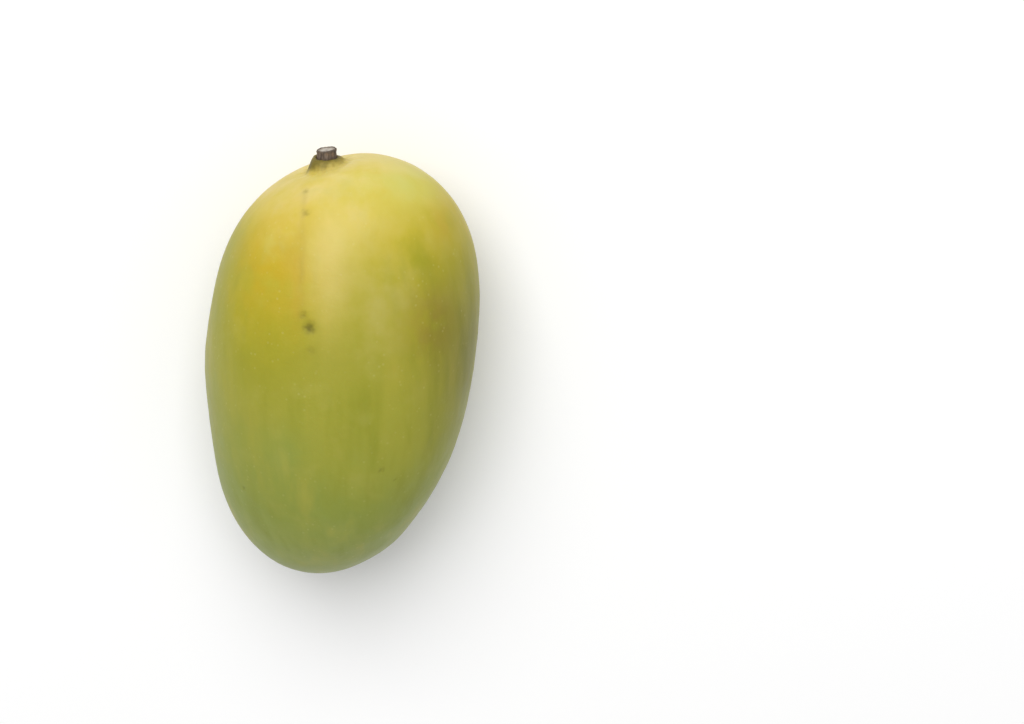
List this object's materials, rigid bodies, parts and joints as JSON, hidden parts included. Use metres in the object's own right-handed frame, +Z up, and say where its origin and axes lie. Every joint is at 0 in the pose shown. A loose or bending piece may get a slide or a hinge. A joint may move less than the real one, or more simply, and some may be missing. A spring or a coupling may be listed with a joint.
{
  "type": "mango",
  "caption": "Oblong mango lying on its cheek, full on one shoulder, with a cut woody stub of the stalk in a low collar.",
  "frame": {"origin": "on the surface the mango lies on, under the centre of its bounding box", "axes": "+Y along the fruit towards the stalk, +X towards the side with the fuller shoulder, +Z up through the upper cheek"},
  "size_m": [0.0774, 0.1258, 0.0666],
  "materials": {
    "skin": "satin",
    "bark": "matte"
  },
  "bodies": {
    "root": {"fruit": "skin", "stalk_stub": "bark"}
  },
  "joints": []
}
